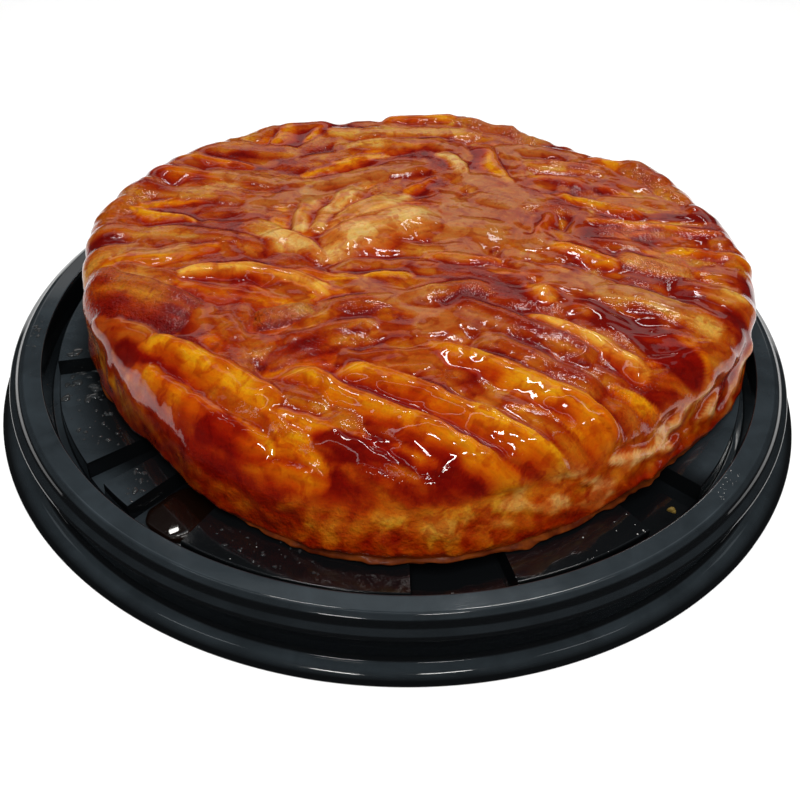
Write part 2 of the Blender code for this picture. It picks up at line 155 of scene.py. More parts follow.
# Each slice: tone, first end x and y, last end x and y, full width, sideways bow to the left of the
# run, rise as a share of the usual one, and how grainy it is.
SLICES = (
    # along the front
    ("gold", -39, -72, 43, -118, 17, -1, 1.2, 0.0),
    ("gold", -22, -71, 51, -109, 18, 2, 1.2, 0.0),
    ("gold", 4, -56, 65, -93, 18, 2, 1.1, 0.0),
    ("brown", 24, -50, 66, -79, 14, 0, 0.9, 0.3),
    ("brown", 16, -30, 66, -62, 12, 2, 1.0, 0.3),
    ("yellow", 40, -38, 82, -69, 15, 2, 1.0, 0.0),
    ("amber", 78, -64, 102, -55, 12, 0, 0.7, 0.3),
    ("yellow", 41, -20, 60, -28, 14, 0, 1.3, 0.0),
    ("gold", -46, -89, -10, -105, 13, 0, 0.6, 0.1),
    ("gold", -82, -60, -36, -92, 20, 0, 1.1, 0.0),
    ("gold", -86, -69, -40, -103, 15, -2, 0.9, 0.0),
    ("amber", 62, -74, 90, -84, 12, 0, 0.6, 0.5),
    ("gold", -10, -102, 18, -110, 11, 0, 0.4, 0.1),
    ("gold", -46, -106, -26, -113, 9, 0, 0.5, 0.0),
    ("gold", 8, -101, 44, -114, 14, 0, 0.9, 0.1),
    # on the left
    ("mush", -112, -23, -68, -44, 21, 0, 0.9, 1.0),
    ("brown", -64, -39, -52, -61, 11, 0, 0.8, 0.2),
    ("brown", -52, -47, -28, -40, 13, 0, 1.0, 1.0),
    ("yellow", -87, -22, -22, -31, 15, 8, 1.0, 0.1),
    ("amber", -108, -14, -62, -1, 15, 1, 0.9, 0.0),
    ("brown", -124, 6, -60, 8, 13, 1, 1.0, 0.3),
    ("gold", -121, 27, -80, 16, 11, 0, 0.9, 0.1),
    ("gold", -104, 27, -78, 37, 12, 0, 0.8, 0.2),
    ("brown", -120, 42, -64, 40, 14, 0, 1.0, 0.3),
    ("amber", -114, 56, -54, 53, 14, 1, 1.0, 0.1),
    ("amber", -108, 70, -64, 66, 12, 0, 0.9, 0.1),
    ("brown", -100, 82, -44, 83, 15, 0, 1.0, 0.3),
    ("brown", -32, -38, 4, -32, 12, 0, 0.9, 0.4),
    ("brown", -68, 31, -44, 23, 12, 0, 0.7, 0.5),
    ("brown", -98, -51, -76, -63, 9, 0, 0.4, 0.1),
    # along the back
    ("amber", -58, 91, -48, 118, 14, 0, 1.2, 0.0),
    ("amber", -43, 90, -36, 116, 14, 0, 0.8, 0.0),
    ("tan", -33, 105, 32, 110, 12, 0, 1.0, 0.2),
    ("tan", -32, 89, 24, 98, 14, 1, 1.0, 0.2),
    ("gold", -8, 119, 22, 122, 12, 0, 1.2, 0.0),
    ("brown", 24, 119, 66, 103, 13, 2, 0.9, 0.2),
    ("amber", 34, 101, 46, 54, 13, -3, 1.0, 0.1),
    ("pale", 13, 89, 25, 66, 10, 3, 0.9, 0.1),
    ("brown", 44, 97, 82, 90, 12, 0, 0.9, 0.2),
    ("tan", 50, 81, 84, 78, 12, 0, 0.9, 0.3),
    ("amber", 51, 66, 82, 62, 14, 0, 0.9, 0.2),
    ("gold", 82, 82, 124, 51, 18, 4, 1.1, 0.1),
    ("amber", -86, 96, -64, 102, 13, 0, 1.0, 0.1),
    # on the right
    ("amber", 62, 52, 102, 35, 13, -1, 1.0, 0.2),
    ("amber", 70, 31, 126, 20, 12, 1, 1.0, 0.3),
    ("gold", 54, 11, 84, -4, 13, 0, 1.0, 0.1),
    ("amber", 100, 8, 132, 3, 13, 0, 1.1, 0.2),
    ("tan", 100, -11, 128, -27, 13, 0, 1.0, 0.3),
    ("tan", 80, 6, 112, -8, 13, 0, 0.9, 0.6),
    ("tan", 66, -19, 108, -38, 16, 3, 1.0, 0.4),
    ("amber", 53, 9, 62, 38, 10, 0, 1.0, 0.0),
    ("tan", 98, 34, 130, 27, 10, 0, 0.8, 0.2),
    # in the middle
    ("amber", -40, -4, -14, 50, 26, 0, 0.7, 0.1),
    ("pale", -38, 6, -34, 46, 11, 3, 1.0, 0.1),
    ("pale", -33, 8, -18, 54, 15, 2, 1.1, 0.1),
    ("pale", -31, 6, 2, 50, 18, 2, 1.15, 0.1),
    ("pale", -32, -2, 16, 34, 27, 2, 1.25, 0.1),
    ("tan", -70, 19, -44, -4, 19, 5, 0.8, 0.3),
    ("tan", -74, 9, -52, -7, 15, 3, 0.7, 0.4),
    ("pale", -56, 12, -30, -9, 14, 3, 0.9, 0.2),
    ("gold", -34, 69, -4, 83, 12, 2, 0.8, 0.1),
    ("brown", -53, 49, 15, 75, 15, 0, 1.0, 0.2),
    ("amber", 0, 47, 19, 66, 10, 0, 0.9, 0.1),
    ("tan", 12, 26, 46, 18, 18, 0, 0.9, 0.4),
    ("brown", 22, 48, 52, 39, 14, 0, 0.9, 0.9),
    ("brown", 0, -30, 38, -22, 13, 2, 0.9, 0.5),
    ("amber", -18, -20, 8, -17, 12, 0, 0.9, 0.2),
    ("amber", 4, -3, 42, -6, 14, 0, 0.9, 0.2),
    ("brown", -42, -58, -4, -45, 11, 0, 0.9, 0.3),
)
# Drips of glaze down the side: direction in degrees, half width, how far up the side they end, as
# a share of it, and thickness
DRIPS = (
    (-16, 3.0, 0.42, 2.0),
    (-24, 4.0, 0.60, 0.8),
    (-62, 6.0, 0.50, 0.7),
    (-108, 3.5, 0.45, 0.8),
    (-152, 3.0, 0.25, 1.0),
    (168, 4.0, 0.35, 1.0),
    (60, 4.0, 0.30, 1.2),
    (101, 3.0, 0.50, 1.0),
)
# More caramel at the rim and down the side: middle and half width in degrees, and how much
RIM_STAINS = ((-117, 12, 1.3), (-134, 8, 0.5), (-152, 8, 0.7), (-14, 10, 0.8))
SIDE_STAINS = ((-122, 15, 0.7), (-146, 12, 0.3), (-30, 20, 0.2), (170, 20, 0.2), (90, 50, 0.2))
# Sheets of set glaze over the slices: middle x and y, half length, half width, direction in degrees
SHEETS = (
    (30, 34, 34, 22, 80),
    (-26, 56, 54, 7, 35),
    (-66, 57, 32, 6, -15),
    (8, -36, 26, 8, -32),
    (-92, -2, 18, 6, 10),
    (58, 92, 20, 7, -10),
    (64, -13, 24, 7, -28),
    (88, -24, 14, 5, -30),
    (50, 12, 10, 6, 30),
)
# Pools of dark caramel between the slices: the same as for a sheet, then how much more caramel
POOLS = (
    (84, -48, 25, 8, -44, 2.0),
    (-94, -34, 24, 7, -25, 0.3),
    (-114, 4, 9, 5, 10, 0.5),
    (107, 36, 17, 5, -8, 1.4),
    (-46, -100, 15, 5, -34, 1.4),
    (-90, -61, 10, 4, -40, 1.0),
    (-14, -103, 16, 4.5, -10, 1.3),
    (111, -22, 18, 10, -32, 0.8),
)
# Lumps and dips of the rim at the back: middle and half width in degrees, and height
RIM_LUMPS = (
    (14, 5, 1.2),
    (35, 9, 2.5),
    (50, 4, -1.6),
    (68, 11, 2.6),
    (103, 9, -2.6),
    (118, 6, 1.4),
    (168, 7, 2.8),
)
SLICE_RISE = 5.0
BACK_FLATTER = 0.28  # how much less the slices at the back stand up
BACK_RIM_LIFT = 2.2  # how much further out the skin lies at the rim at the back
FRONT_STRETCH = 1.6  # how far the low front of a slice runs on under the next one
BASE_LEVEL = 0.6  # of the mush of apple and caramel under the slices, above the bare skin
GLAZE_SPREAD = 2.4  # the glaze fills the gaps up to the slices blurred by this
GLAZE_DROP = 1.3  # and lowered by this
RIM_REACH = 106.0  # an end that lies this far out hangs over the rim
RIM_OVERHANG = 7.0
FILLER_PITCH = 11.0
FILLER_REACH = 121.0
FILLER_NEED = 2.0  # a filler goes where the slices are lower than this
FIRST_FILLER = 200  # fillers are numbered from this

# ---------------------------------------------------------------- fields


def smoothstep(low, high, value):
    part = np.clip((value - low) / (high - low), 0.0, 1.0)
    return part * part * (3 - 2 * part)


def smooth_max(a, b, blend):
    return np.maximum(a, b) + np.maximum(blend - np.abs(a - b), 0.0) ** 2 / (4 * blend)


def smooth_min(a, b, blend):
    return -smooth_max(-a, -b, blend)


def fade(a, b, share):
    """From a to b by that share."""
    return a + share * (b - a)


AXIS = np.arange(-FIELD_REACH, FIELD_REACH + CELL / 2, CELL)
MAP_X, MAP_Y = np.meshgrid(AXIS, AXIS, indexing="ij")


def blur(field, spread):
    """The field after a Gaussian blur of that spread."""
    waves = np.fft.fftfreq(len(AXIS), CELL)
    gain = np.exp(-2 * (np.pi * spread * waves) ** 2)
    return np.real(np.fft.ifft2(np.fft.fft2(field) * gain[:, None] * gain[None, :]))


def rough_field(spread, seed):
    """Smooth random hills of about that size, with a mean of 0 and a deviation of 1."""
    field = blur(np.random.default_rng(seed).standard_normal(MAP_X.shape), spread)
    return (field - field.mean()) / field.std()


def between(table, rows, columns, down, along):
    """The table's values between two rows and two columns, by those shares of the way."""
    near = table[rows[0], columns[0]] * (1 - down) + table[rows[1], columns[0]] * down
    far = table[rows[0], columns[1]] * (1 - down) + table[rows[1], columns[1]] * down
    return near * (1 - along) + far * along


def lattice_noise(u, v, seed):
    """Noise from 0 to 1 with a period of about 1 in both coordinates."""
    table = np.random.default_rng(seed).random((64, 64))
    u0, v0 = np.floor(u).astype(int), np.floor(v).astype(int)
    fu, fv = u - u0, v - v0
    fu, fv = fu * fu * (3 - 2 * fu), fv * fv * (3 - 2 * fv)
    return between(table, (u0 % 64, (u0 + 1) % 64), (v0 % 64, (v0 + 1) % 64), fu, fv)


def sample(field, x, y):
    """The field at points of the map, blended between its cells."""
    column = np.clip((x + FIELD_REACH) / CELL, 0, len(AXIS) - 1.001)
    row = np.clip((y + FIELD_REACH) / CELL, 0, len(AXIS) - 1.001)
    i, j = column.astype(int), row.astype(int)
    fi, fj = column - i, row - j
    if field.ndim == 3:
        fi, fj = fi[..., None], fj[..., None]
    return between(field, (i, i + 1), (j, j + 1), fi, fj)


def outline(angle):
    """The radius of the foot, the radius of the rim and the drop of the rim, for many angles."""
    table = np.array(OUTLINE)
    turn = (angle / math.tau % 1.0) * len(table)
    first = np.floor(turn).astype(int)
    part = (turn - first)[..., None]
    before, here, after, beyond = (table[(first + i) % len(table)] for i in (-1, 0, 1, 2))
    slope, next_slope = (after - before) / 2, (beyond - here) / 2
    bend = 3 * (after - here) - 2 * slope - next_slope
    twist = slope + next_slope - 2 * (after - here)
    return np.moveaxis(here + part * (slope + part * (bend + part * twist)), -1, 0)


def polar_points(radius, angle, height, centre=(0.0, 0.0)):
    """Points at those radii, directions and heights round an upright axis."""
    x = centre[0] + radius * np.cos(angle)
    y = centre[1] + radius * np.sin(angle)
    return np.stack(np.broadcast_arrays(x, y, height), axis=-1)


class Wrap:
    """Turns places on the flat map into places on the bare skin of the tart.

    The map keeps distances along each radius: it is the plan of the top, and the side lies
    unrolled round it.
    """

    angles = 720
    stations = 400
    turns = 90

    def __init__(self):
        angle = np.arange(self.angles) * math.tau / self.angles
        foot, rim, drop = outline(angle)
        seam = foot + 0.2 * (rim - foot) + 0.8
        flat = np.linspace(0.0, 1.0, 160)[:, None] * (rim - CORNER)[None, :]
        side_high = APPLE_TOP - drop - SEAM_HEIGHT
        bend = np.linspace(0.0, 1.0, self.turns)[1:, None] * np.arctan2(side_high, seam - rim)
        fall = smoothstep(rim - RIM_FALL, rim, flat) * drop
        top_z = self.top(flat * np.cos(angle), flat * np.sin(angle)) - fall
        corner_r = rim - CORNER + CORNER * np.sin(bend)
        corner_fall = smoothstep(rim - RIM_FALL, rim, corner_r) * drop
        at_corner = self.top(corner_r * np.cos(angle), corner_r * np.sin(angle))
        corner_z = at_corner - corner_fall - CORNER * (1 - np.cos(bend))
        down = np.linspace(0.0, 1.0, 60)[1:, None]
        side_r = corner_r[-1] + (seam - corner_r[-1]) * down
        wave = lattice_noise(angle * 11.0, 0.0, 71) + 0.5 * lattice_noise(angle * 31.0, 0.0, 72)
        side_z = corner_z[-1] + (SEAM_HEIGHT + SEAM_WAVE * (wave - 0.75) - corner_z[-1]) * down
        radius = np.concatenate([flat, corner_r, side_r])
        height = np.concatenate([top_z, corner_z, side_z])
        step = np.hypot(np.diff(radius, axis=0), np.diff(height, axis=0))
        along = np.concatenate([np.zeros((1, self.angles)), np.cumsum(step, axis=0)])
        self.length = along[-1]
        part = np.linspace(0.0, 1.0, self.stations)
        self.radius = np.empty((self.stations, self.angles))
        self.height = np.empty((self.stations, self.angles))
        for i in range(self.angles):
            self.radius[:, i] = np.interp(part * self.length[i], along[:, i], radius[:, i])
            self.height[:, i] = np.interp(part * self.length[i], along[:, i], height[:, i])
        out = np.gradient(self.radius, axis=0)
        up = np.gradient(self.height, axis=0)
        size = np.hypot(out, up)
        self.normal_out, self.normal_up = -up / size, out / size

    @staticmethod
    def top(x, y):
        turn = math.radians(HIGH_SIDE)
        return APPLE_TOP + TILT * (x * math.cos(turn) + y * math.sin(turn)) / TILT_RADIUS

    def look_up(self, table, part, angle):
        row = np.clip(part * (self.stations - 1), 0, self.stations - 1.001)
        column = angle / math.tau % 1.0 * self.angles
        i, j = row.astype(int), column.astype(int) % self.angles
        fi, fj = row - i, column - np.floor(column)
        return between(table, (i, i + 1), (j, (j + 1) % self.angles), fi, fj)

    def reach(self, angle):
        """How far the map reaches in each direction."""
        return np.interp(angle % math.tau, np.arange(self.angles + 1) * math.tau / self.angles,
                         np.append(self.length, self.length[0]))

    def place(self, part, angle, lift):
        """Points on the skin, a part of the way out from the middle, lifted by their heights."""
        radius = self.look_up(self.radius, part, angle)
        height = self.look_up(self.height, part, angle)
        radius = radius + lift * self.look_up(self.normal_out, part, angle)
        height = height + lift * self.look_up(self.normal_up, part, angle)
        return polar_points(radius, angle, height, TART_CENTRE)


WRAP = Wrap()
POLAR_ANGLE = np.arctan2(MAP_Y - TART_CENTRE[1], MAP_X - TART_CENTRE[0])
POLAR_RADIUS = np.hypot(MAP_X - TART_CENTRE[0], MAP_Y - TART_CENTRE[1])
# How far out from the rim, below 0 on the top
BEYOND_RIM = POLAR_RADIUS - outline(POLAR_ANGLE)[1]
# From 0 at the front to 1 at the back, which comes further forward at the sides
AT_BACK = smoothstep(-10.0, 75.0, MAP_Y + np.maximum(0.6 * MAP_X, -0.25 * MAP_X))
# From 0 on the top to 1 on the side
ON_SIDE = smoothstep(-1.5, 6.5, BEYOND_RIM)
# From 0 at the seam with the pastry up to 1 at the rim
UP_SIDE = np.clip((WRAP.reach(POLAR_ANGLE) - POLAR_RADIUS) / SIDE_LENGTH, 0.0, 1.0)
RAGGED = 0.22 * rough_field(3.5, 35)  # of the edges of sheets and pools


def towards(direction, width):
    """1 in that direction from the middle of the tart and less beside it, both in degrees."""
    return np.exp(-((POLAR_ANGLE - math.radians(direction)) / math.radians(width)) ** 2)


def over_the_rim(end, other):
    """The end of a slice, drawn out over the rim if it lies near it."""
    if math.dist(end, TART_CENTRE) < RIM_REACH:
        return end
    length = math.dist(end, other)
    return tuple(a + (a - b) / length * RIM_OVERHANG for a, b in zip(end, other))


class Apples:
    """Heights, colours, soaked caramel with some painted shade, and grain of the apples, on the flat
    map.
    """

    def __init__(self):
        self.height = BASE_LEVEL + 0.5 * rough_field(3.0, 11) + 0.25 * rough_field(1.2, 12)
        self.height = self.height + BACK_RIM_LIFT * AT_BACK * smoothstep(-16.0, -4.0, BEYOND_RIM)
        at_rim = smoothstep(-20.0, -5.0, BEYOND_RIM) * (1 - smoothstep(6.0, 18.0, BEYOND_RIM))
        for middle, width, high in RIM_LUMPS:
            self.height = self.height + high * at_rim * towards(middle, width)
        base, soaked = TONES["mush"]
        self.colour = np.ones(MAP_X.shape + (3,)) * base
        self.soaked = soaked + 0.35 * rough_field(5.0, 13)
        self.grain = 0.35 + 0.3 * rough_field(6.0, 14)
        self.owner = np.zeros(MAP_X.shape)
        self.along = MAP_X.copy()
        self.across = MAP_Y.copy()
        for number, row in enumerate(SLICES):
            self.lay(number, *row)
        for number, row in enumerate(self.fillers()):
            self.lay(FIRST_FILLER + number, *row)

    def fillers(self):
        """Short low pieces of apple in the room between the slices, turned as these are."""
        luck = np.random.default_rng(77)
        middles = np.array([((r[1] + r[3]) / 2, (r[2] + r[4]) / 2) for r in SLICES])
        runs = np.array([(r[3] - r[1], r[4] - r[2]) for r in SLICES], dtype=float)
        made = []
        for x in np.arange(-118.0, 132.0, FILLER_PITCH):
            for y in np.arange(-118.0, 122.0, FILLER_PITCH):
                place = np.array([x, y]) + luck.uniform(-5.0, 5.0, 2)
                bent, length, width, rise, pick = luck.uniform(size=5)
                if np.hypot(*(place - TART_CENTRE)) > FILLER_REACH:
                    continue
                if sample(self.height, *place) > FILLER_NEED:
                    continue
                run = runs[np.argmin(np.hypot(*(middles - place).T))]
                turn = math.atan2(run[1], run[0]) + (bent - 0.5) * 0.7
                half = (11.0 + 13.0 * length) * np.array([math.cos(turn), math.sin(turn)])
                tone = FILLER_TONES[int(pick * len(FILLER_TONES))]
                made.append((tone, *(place - half), *(place + half), 11.0 + 7.0 * width,
                             3.0 * (bent - 0.5), 0.45 + 0.25 * rise, 0.5 * pick))
        return made

    def lay(self, number, tone, x0, y0, x1, y1, width, bow, rise, grain):
        """Lays one slice: a flat top, a face that slopes down to the right of its run, thin ends."""
        luck = np.random.default_rng(500 + number)
        # Where the flat top turns into the face
        turn = luck.uniform(-0.50, 0.10) if tone in WIDE_TOPPED else luck.uniform(0.15, 0.50)
        steep = luck.uniform(0.50, 0.85)
        lean = luck.uniform(-0.06, 0.16)
        tip = luck.uniform(2.2, 3.6)
        ends = luck.uniform(0.6, 1.2)
        twist = luck.uniform(-0.25, 0.25)
        shade = luck.uniform(-0.15, 0.20)
        (x0, y0), (x1, y1) = over_the_rim((x0, y0), (x1, y1)), over_the_rim((x1, y1), (x0, y0))
        run = np.array([x1 - x0, y1 - y0], dtype=float)
        length = np.hypot(*run)
        margin = width * FRONT_STRETCH + abs(bow)
        inside = (
            (MAP_X > min(x0, x1) - margin) & (MAP_X < max(x0, x1) + margin)
            & (MAP_Y > min(y0, y1) - margin) & (MAP_Y < max(y0, y1) + margin)
        )
        x, y = MAP_X[inside] - x0, MAP_Y[inside] - y0
        part = (x * run[0] + y * run[1]) / length ** 2
        side = (y * run[0] - x * run[1]) / length
        side = side - bow * 4 * part * (1 - part)
        wander = lattice_noise(part * length / 11.0 + 7.3 * number, side / 14.0, 21)
        jag = lattice_noise(part * length / 3.5 + 9.1 * number, side / 5.0, 24)
        side = side + 2.8 * (wander - 0.5) + 1.0 * (jag - 0.5)
        out = np.abs(2 * part - 1)
        taper = np.sqrt(np.clip(1 - out ** tip, 0.0004, 1.0))
        share = side / (width / 2 * (0.35 + 0.65 * taper))
        turn = turn + twist * (2 * np.clip(part, 0.0, 1.0) - 1)
        top = 1 + lean * (share - turn)
        face = 1 - steep * (turn - share)
        back = 3.5 * (1.0 - share)
        lip = 1.3 * (share + FRONT_STRETCH)
        tips = ends * (1 - out) * length / width + 0.1
        shape = smooth_min(smooth_min(top, face, 0.22), smooth_min(back, lip, 0.2), 0.3)
        shape = smooth_min(shape, tips, 0.4)
        hump = 1 + 0.3 * (lattice_noise(part * length / 14.0 + 3.1 * number, share * 0.4, 22) - 0.5)
        near_rim = smoothstep(-14.0, 2.0, BEYOND_RIM[inside])
        flatter = 1 - BACK_FLATTER * AT_BACK[inside] * (1 - 0.7 * near_rim)
        height = SLICE_RISE * flatter * rise * hump * np.maximum(shape, -1.0)
        ridges = lattice_noise(part * length / 22.0, side / 2.4 + 8.7 * number, 26) - 0.5
        fibre = lattice_noise(part * length / 11.0, side / 0.9 + 5.7 * number, 23) - 0.5
        height = height + 0.32 * ridges + 0.08 * fibre
        old = self.height[inside]
        on_top = height > old
        self.height[inside] = smooth_max(old, height, 1.3)
        base, soaked = TONES[tone]
        low = np.clip(turn - share, 0, 1.4) * (1 - 0.7 * near_rim)
        edge = np.exp(-((share - turn) / 0.22) ** 2)
        cloud = lattice_noise(part * length / 13.0 + 2.9 * number, share * 0.9, 25) - 0.5
        streak = lattice_noise(part * length / 9.0 + 4.3 * number, side / 2.8, 27)
        streak = smoothstep(0.35, 0.75, streak) - 0.4
        # flat stains the flat top darker and edge leaves the crest paler. This is partly deeper caramel
        # on the top, and partly painted shade on the top and painted light on the crest, for the light
        # that falls more on the face than on the top.
        flat = smoothstep(turn - 0.1, turn + 0.25, share)
        stain_and_shading = soaked + shade + 1.5 * low ** 1.2 - 0.15 * edge + 0.25 * flat
        uneven = 0.5 if tone in CLEAN else 1.0
        spots = 0.3 * fibre + uneven * (0.9 * cloud + 0.5 * streak) + 0.4 * ridges
        stain_and_shading = stain_and_shading + spots * (0.35 + 0.6 * soaked)
        for field, value in (
            (self.soaked, stain_and_shading), (self.grain, grain), (self.owner, number + 1),
            (self.along, part * length), (self.across, side + 31.7 * number),
        ):
            field[inside] = np.where(on_top, value, field[inside])
        self.colour[inside] = np.where(on_top[:, None], np.array(base), self.colour[inside])


def patch(x, y, half_length, half_width, direction):
    """From 0 outside an oval with a ragged edge to 1 in it."""
    turn = math.radians(direction)
    along = (MAP_X - x) * math.cos(turn) + (MAP_Y - y) * math.sin(turn)
    across = (MAP_Y - y) * math.cos(turn) - (MAP_X - x) * math.sin(turn)
    far = np.hypot(along / half_length, across / half_width) + RAGGED
    return 1 - smoothstep(0.75, 1.15, far)


def sheets():
    """From 0 outside the sheets of glaze to 1 on them."""
    covered = np.zeros(MAP_X.shape)
    for sheet in SHEETS:
        covered = np.maximum(covered, patch(*sheet))
    return covered


def pools():
    """How much more caramel there is in the dark pools."""
    more = np.zeros(MAP_X.shape)
    for *oval, much in POOLS:
        more = np.maximum(more, much * patch(*oval))
    return more


def outlines_of_slices(apples):
    """Thin lines, up to 1, where one slice meets the next."""
    step = np.abs(np.diff(apples.owner, axis=0, append=0))
    step = step + np.abs(np.diff(apples.owner, axis=1, append=0))
    return np.clip(blur((step > 0).astype(float), 0.55) * 2.2, 0.0, 1.0)


def glaze_over(apples):
    """The surface of the glaze over the apples, how deep it lies, and where it is a set sheet."""
    filled = blur(apples.height, GLAZE_SPREAD) - GLAZE_DROP + 0.45 * rough_field(7.0, 31)
    surface = blur(smooth_max(apples.height, filled, 0.9), 0.45)
    film = smoothstep(-0.5, 1.0, rough_field(8.0, 33))
    surface = fade(surface, smooth_max(surface, blur(surface, 2.2) + 0.15, 0.8), film)
    set_glaze = sheets()
    surface = fade(surface, 0.35 * surface + 0.65 * blur(surface, 4.5) + 0.4, set_glaze)
    surface = fade(surface, blur(surface, 3.0) + 0.1, 0.45 * np.clip(pools(), 0.0, 1.0))
    surface = surface + 0.04 * rough_field(1.2, 32) + 0.13 * rough_field(3.0, 34)
    depth = np.maximum(surface - apples.height, 0.0)
    return surface, depth * (1 - 0.6 * set_glaze), set_glaze


def side_of_tart():
    """Heights, stains and grain of the soft apple and caramel down the side, and the pale patches of a
    painted reflection.
    """
    around = POLAR_ANGLE * SIDE_RADIUS
    runs = lattice_noise(around / 9.0, POLAR_RADIUS / 30.0, 43) - 0.5
    crumbly = towards(-95, 34)
    lumps = rough_field(1.2, 48)
    dents = rough_field(2.4, 42)
    bumps = 0.9 + 2.7 * UP_SIDE ** 1.5 + 0.45 * rough_field(6.0, 41) + 0.8 * runs
    bumps = bumps + (0.20 * dents + 0.10 * lumps) * (0.10 + 0.90 * crumbly)
    wavy = towards(-38, 30)
    slant, steep = around + 0.8 * POLAR_RADIUS, POLAR_RADIUS - 0.3 * around
    flows = lattice_noise(slant / 9.0, steep / 3.6, 55) - 0.5
    bumps = bumps + wavy * (2.2 * flows + 0.3 * rough_field(3.4, 58))
    pits = smoothstep(0.9, 2.0, rough_field(1.3, 47)) * crumbly
    islands = smoothstep(-0.2, 0.3, rough_field(1.7, 59))
    stains = 0.46 - 0.26 * islands + 0.05 * rough_field(4.5, 45) + 0.16 * rough_field(1.5, 46)
    stains = stains - 0.10 * lumps + 0.2 * runs + 0.5 * pits - 0.12 * dents
    for middle, half_width, end, more in DRIPS:
        off = (POLAR_ANGLE - math.radians(middle) + math.pi) % math.tau - math.pi
        drip = np.exp(-(off * DRIP_RADIUS / half_width) ** 2)
        drip = drip * smoothstep(end - 0.05, end + 0.12, UP_SIDE)
        bumps = bumps + more * drip
        stains = stains + 0.4 * drip
    upper = 0.25 + 0.75 * smoothstep(0.35, 0.65, UP_SIDE + 0.1 * rough_field(3.0, 51))
    for middle, width, more in SIDE_STAINS:
        stains = stains + more * towards(middle, width) * upper
    under_rim = np.exp(-((UP_SIDE - 0.82 + 0.08 * rough_field(5.0, 49)) / 0.12) ** 2)
    stains = stains + 0.12 * under_rim * (0.6 + 0.8 * rough_field(9.0, 50))
    edge = 0.30 + 0.12 * rough_field(5.0, 44)
    stains = stains + 0.75 * (1 - smoothstep(edge - 0.16, edge + 0.16, UP_SIDE))
    bumps = bumps - 0.25 * pits
    clear = np.clip(1.6 * wavy, 0.0, 1.0)
    # pale is a painted reflection: pale patches in the flows on the right of the side, where the glossy
    # side mirrors the pale floor. The stains are lightened under them too.
    pale = smoothstep(-0.05, 0.09, flows + 0.04 * rough_field(1.9, 60)) * clear
    pale = pale * smoothstep(0.18, 0.34, UP_SIDE + 0.08 * rough_field(4.0, 44))
    stains = stains + 0.35 * clear - 0.9 * pale
    return bumps, stains, 0.12 + 0.33 * crumbly, pale


def make_fields():
    """The surface of the skin, its stained colour with painted shade and a painted reflection, its
    grain, and the apples under it.
    """
    apples = Apples()
    surface, depth, set_glaze = glaze_over(apples)
    side_surface, side_stains, side_grain, side_painted_reflection = side_of_tart()
    surface = fade(surface, side_surface, ON_SIDE)
    blotches = 0.16 * rough_field(9.0, 52) + 0.20 * rough_field(3.0, 53)
    unset = 1 - set_glaze
    soaked = apples.soaked + GLAZE_STAIN * depth + blotches + 0.3 * outlines_of_slices(apples) * unset
    soaked = soaked - 0.15 * apples.grain * unset
    soaked = fade(soaked, 0.5, 0.6 * set_glaze)
    pool = pools()
    soaked = soaked + pool
    soaked = fade(soaked, side_stains, ON_SIDE)
    at_rim = smoothstep(-9.0, -3.5, BEYOND_RIM + 2.0 * rough_field(4.0, 56))
    at_rim = at_rim * (1 - smoothstep(5.0, 11.0, BEYOND_RIM + 2.0 * rough_field(3.0, 57)))
    for middle, width, more in RIM_STAINS:
        soaked = soaked + more * at_rim * towards(middle, width)
    colour = fade(apples.colour, SHEET_COLOUR, 0.8 * set_glaze[..., None])
    # The side's own colour, paled where the reflection is painted
    colour = fade(colour, fade(SIDE_COLOUR, SIDE_PAINTED_REFLECTION, side_painted_reflection[..., None]), ON_SIDE[..., None])
    # On the top, middling stains are paler and dark ones darker
    middling = np.exp(-((soaked - 0.95) / 0.55) ** 2)
    soaked = soaked + (1 - ON_SIDE) * (0.25 * smoothstep(1.6, 2.2, soaked) - 0.18 * middling)
    soaked = np.minimum(soaked, MOST_SOAKED)
    stained = colour * np.exp(-GLAZE_ABSORBS * np.maximum(soaked, 0.0)[..., None])
    smooth = 0.8 * np.maximum(set_glaze, np.clip(pool, 0, 1))
    grain = apples.grain * (1 - ON_SIDE) * (1 - smooth) + side_grain * ON_SIDE
    return surface, stained, np.clip(grain, 0, 1), apples


# ---------------------------------------------------------------- making meshes


def make_object(name, points, faces, material):
    """An object from points in millimetres and faces as rows of point numbers."""
    mesh = bpy.data.meshes.new(name)
    mesh.from_pydata((points.reshape(-1, 3) * MM).tolist(), [], [list(face) for face in faces])
    mesh.materials.append(material)
    mesh.shade_smooth()
    thing = bpy.data.objects.new(name, mesh)
    bpy.context.scene.collection.objects.link(thing)
    return thing


def weld(thing):
    """Joins the points that lie together."""
    form = bmesh.new()
    form.from_mesh(thing.data)
    bmesh.ops.remove_doubles(form, verts=form.verts, dist=0.002 * MM)
    form.to_mesh(thing.data)
    form.free()


def set_attribute(thing, name, values):
    """A number or a colour at each point of the mesh."""
    values = np.asarray(values, dtype=np.float32)
    if values.ndim == 1:
        thing.data.attributes.new(name, "FLOAT", "POINT").data.foreach_set("value", values)
    elif values.shape[1] == 3:
        made = thing.data.attributes.new(name, "FLOAT_VECTOR", "POINT")
        made.data.foreach_set("vector", values.ravel())
    else:
        made = thing.data.color_attributes.new(name, "FLOAT_COLOR", "POINT")
        made.data.foreach_set("color", values.ravel())


def grid_faces(rows, columns, closed=False):
    """Faces over a grid of points; closed joins the last column to the first."""
    wide = columns if closed else columns - 1
    i, j = np.meshgrid(np.arange(rows - 1), np.arange(wide), indexing="ij")
    after = (j + 1) % columns
    corners = (i * columns + j, (i + 1) * columns + j, (i + 1) * columns + after, i * columns + after)
    return np.stack(corners, axis=-1).reshape(-1, 4)


